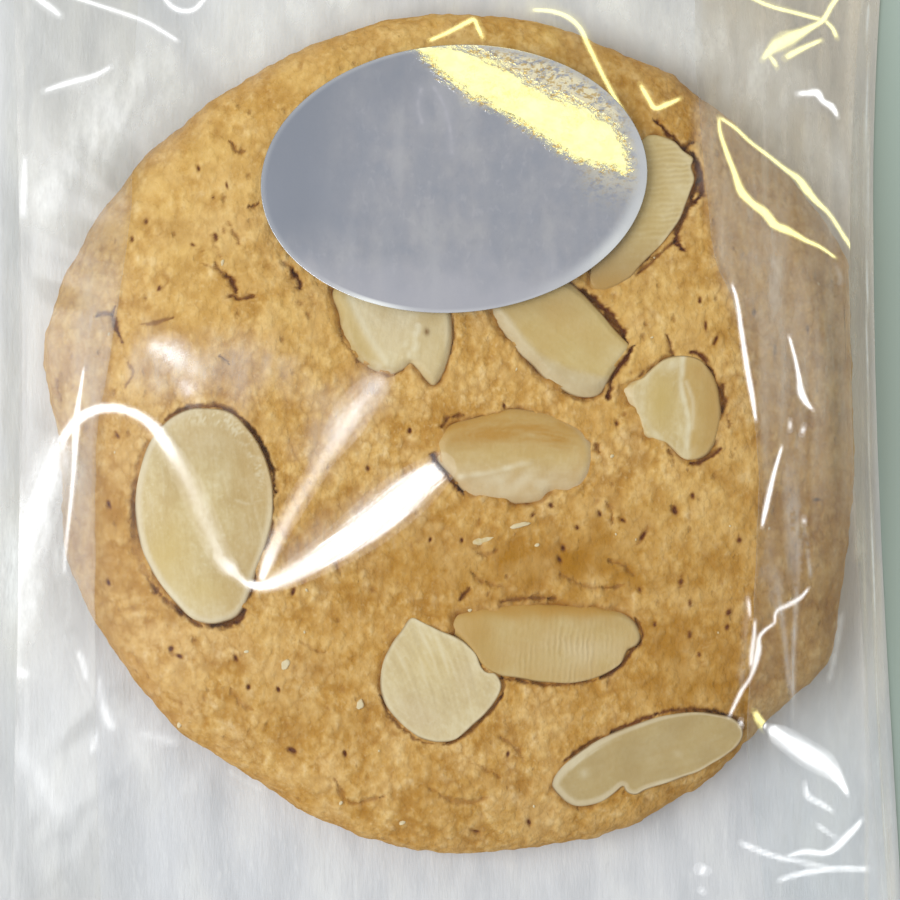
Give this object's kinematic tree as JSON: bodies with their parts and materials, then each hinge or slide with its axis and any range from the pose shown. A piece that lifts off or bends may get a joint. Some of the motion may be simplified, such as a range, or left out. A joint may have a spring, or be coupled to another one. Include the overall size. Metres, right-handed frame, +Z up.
{
  "type": "almond biscuit in a clear sealed bag",
  "caption": "Round golden almond biscuit topped with sliced almonds, sealed flat in a clear side-gusseted bag with a plain silver oval sticker.",
  "frame": {"origin": "on the surface that the bag lies on, under the middle of the bag's outline", "axes": "+Z up out of the bag's clear front, +Y along the bag towards the end nearest the sticker, +X to the right as the front is looked at"},
  "size_m": [0.094, 0.126, 0.0128],
  "materials": {
    "clear_film": "gloss",
    "silver_label": "satin",
    "backing": "matte",
    "biscuit_crust": "matte",
    "almond": "satin"
  },
  "bodies": {
    "root": {"bag": "clear_film", "label": "silver_label"}
  },
  "joints": []
}
